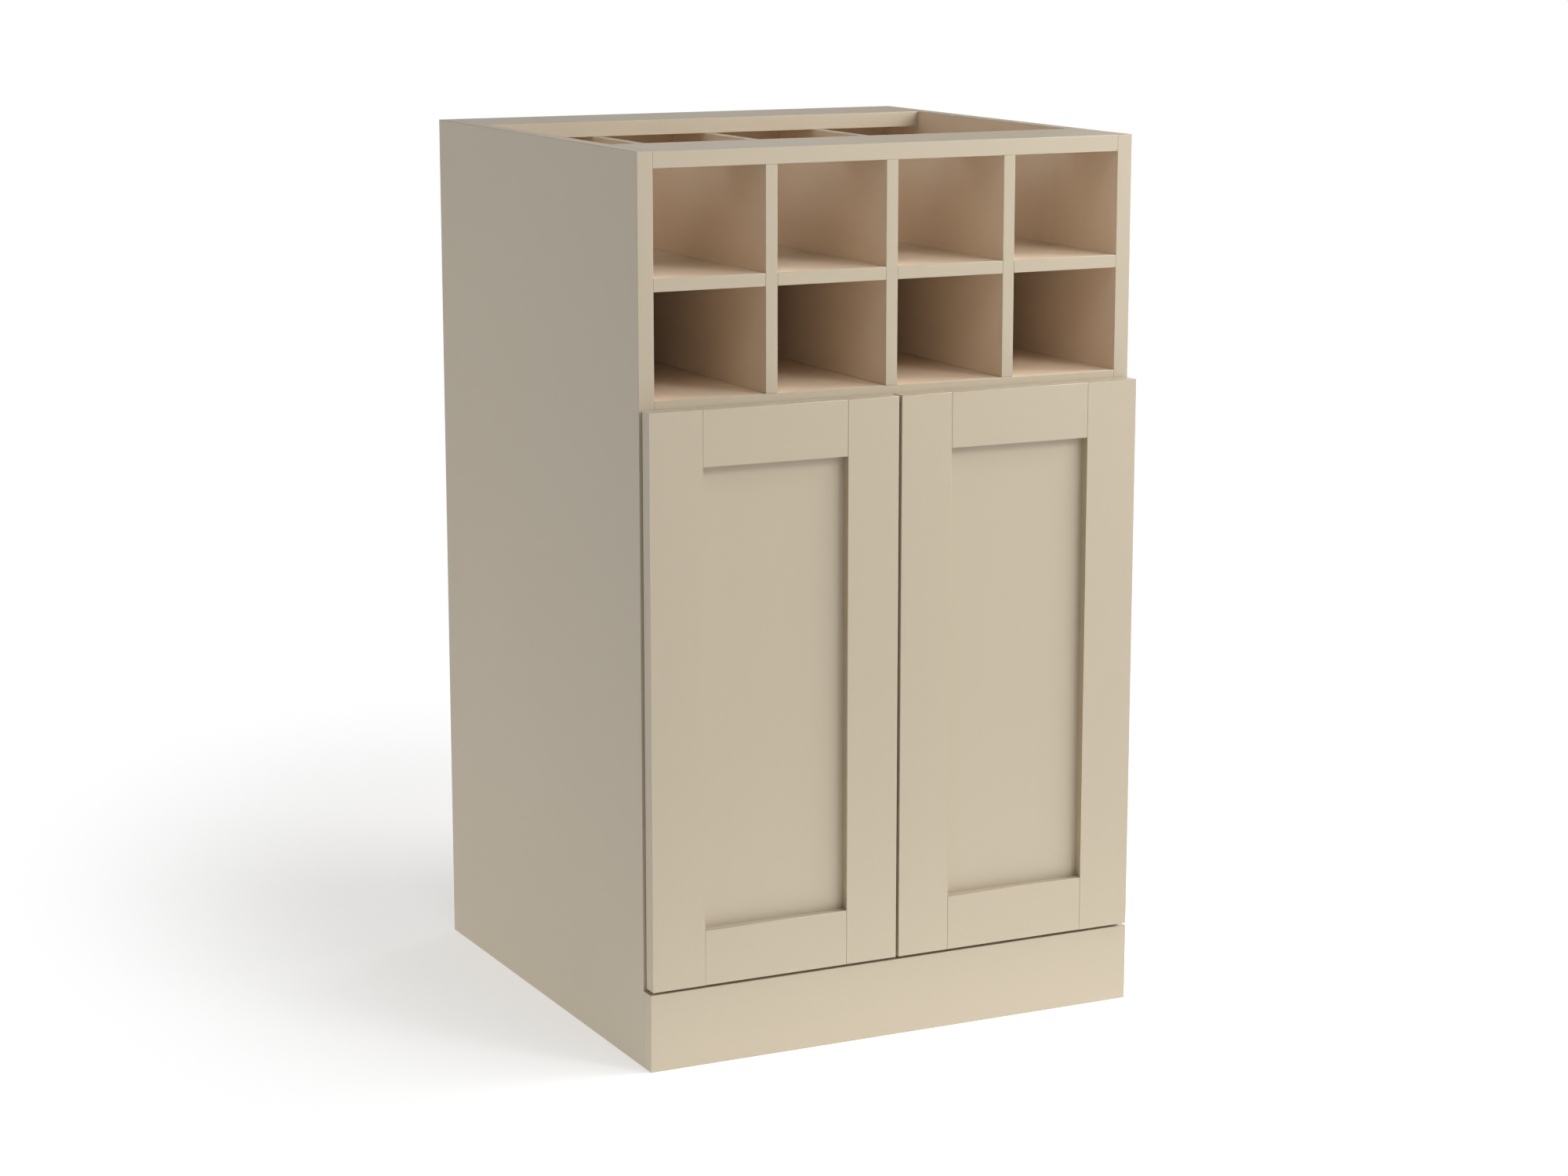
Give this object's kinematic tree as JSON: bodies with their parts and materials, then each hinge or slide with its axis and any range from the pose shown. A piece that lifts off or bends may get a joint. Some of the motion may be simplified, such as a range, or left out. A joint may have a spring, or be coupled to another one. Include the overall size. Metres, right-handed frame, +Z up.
{
  "type": "wine cabinet",
  "caption": "Free-standing base cabinet with open bottle cells in a grid over a cupboard with shaker doors and a plinth board; its top is open between front and back rails.",
  "frame": {"origin": "on the floor, midway across the width and midway between the door fronts and the back edges of the side panels", "axes": "+Z up, +X to the right seen from the front, +Y from the doors to the back"},
  "size_m": [0.6, 0.599, 0.994],
  "materials": {
    "carcass_paint": "satin beige paint over wood board",
    "door_paint": "satin beige paint over wood grain",
    "rack_board": "satin rose-brown board, beige front edges",
    "back_board": "satin rose-brown board",
    "beech": "bare beech",
    "zinc": "zinc-plated",
    "nickel": "nickel-plated",
    "clear_buffer": "soft translucent"
  },
  "bodies": {
    "carcass": {"side_panel_left": "carcass_paint", "side_panel_right": "carcass_paint", "bottom_panel": "carcass_paint", "rack_base": "carcass_paint", "back_panel": "back_board", "top_rail_front": "carcass_paint", "top_rail_back": "carcass_paint", "rack_shelf": "rack_board", "rack_divider_left": "rack_board", "rack_divider_middle": "rack_board", "rack_divider_right": "rack_board", "cupboard_shelf": "rack_board", "shelf_pins": "nickel", "plinth_board": "carcass_paint", "plinth_blocks": "beech", "plinth_screws": "zinc", "carcass_dowels": "beech", "rack_dowels": "beech", "cam_housings": "zinc", "cam_bolts": "zinc", "hinge_plates_left": "nickel", "hinge_plates_right": "nickel", "hinge_arms_left": "nickel", "hinge_arms_right": "nickel", "plate_screws": "zinc", "arm_screws": "zinc"},
    "door_left": {"hinge_stile_left": "door_paint", "meeting_stile_left": "door_paint", "door_top_rail_left": "door_paint", "door_bottom_rail_left": "door_paint", "door_panel_left": "door_paint", "hinge_cups_left": "nickel", "hinge_pins_left": "zinc", "cup_screws_left": "zinc", "door_buffers_left": "clear_buffer"},
    "door_right": {"hinge_stile_right": "door_paint", "meeting_stile_right": "door_paint", "door_top_rail_right": "door_paint", "door_bottom_rail_right": "door_paint", "door_panel_right": "door_paint", "hinge_cups_right": "nickel", "hinge_pins_right": "zinc", "cup_screws_right": "zinc", "door_buffers_right": "clear_buffer"}
  },
  "joints": [
    {"name": "door_left_hinge", "type": "hinge", "parent": "carcass", "child": "door_left", "pos_m": [-0.29, -0.2895, 0.40715], "axis": [0, 0, -1], "range_deg": [0, 105]},
    {"name": "door_right_hinge", "type": "hinge", "parent": "carcass", "child": "door_right", "pos_m": [0.29, -0.2895, 0.40715], "axis": [0, 0, 1], "range_deg": [0, 105]}
  ]
}
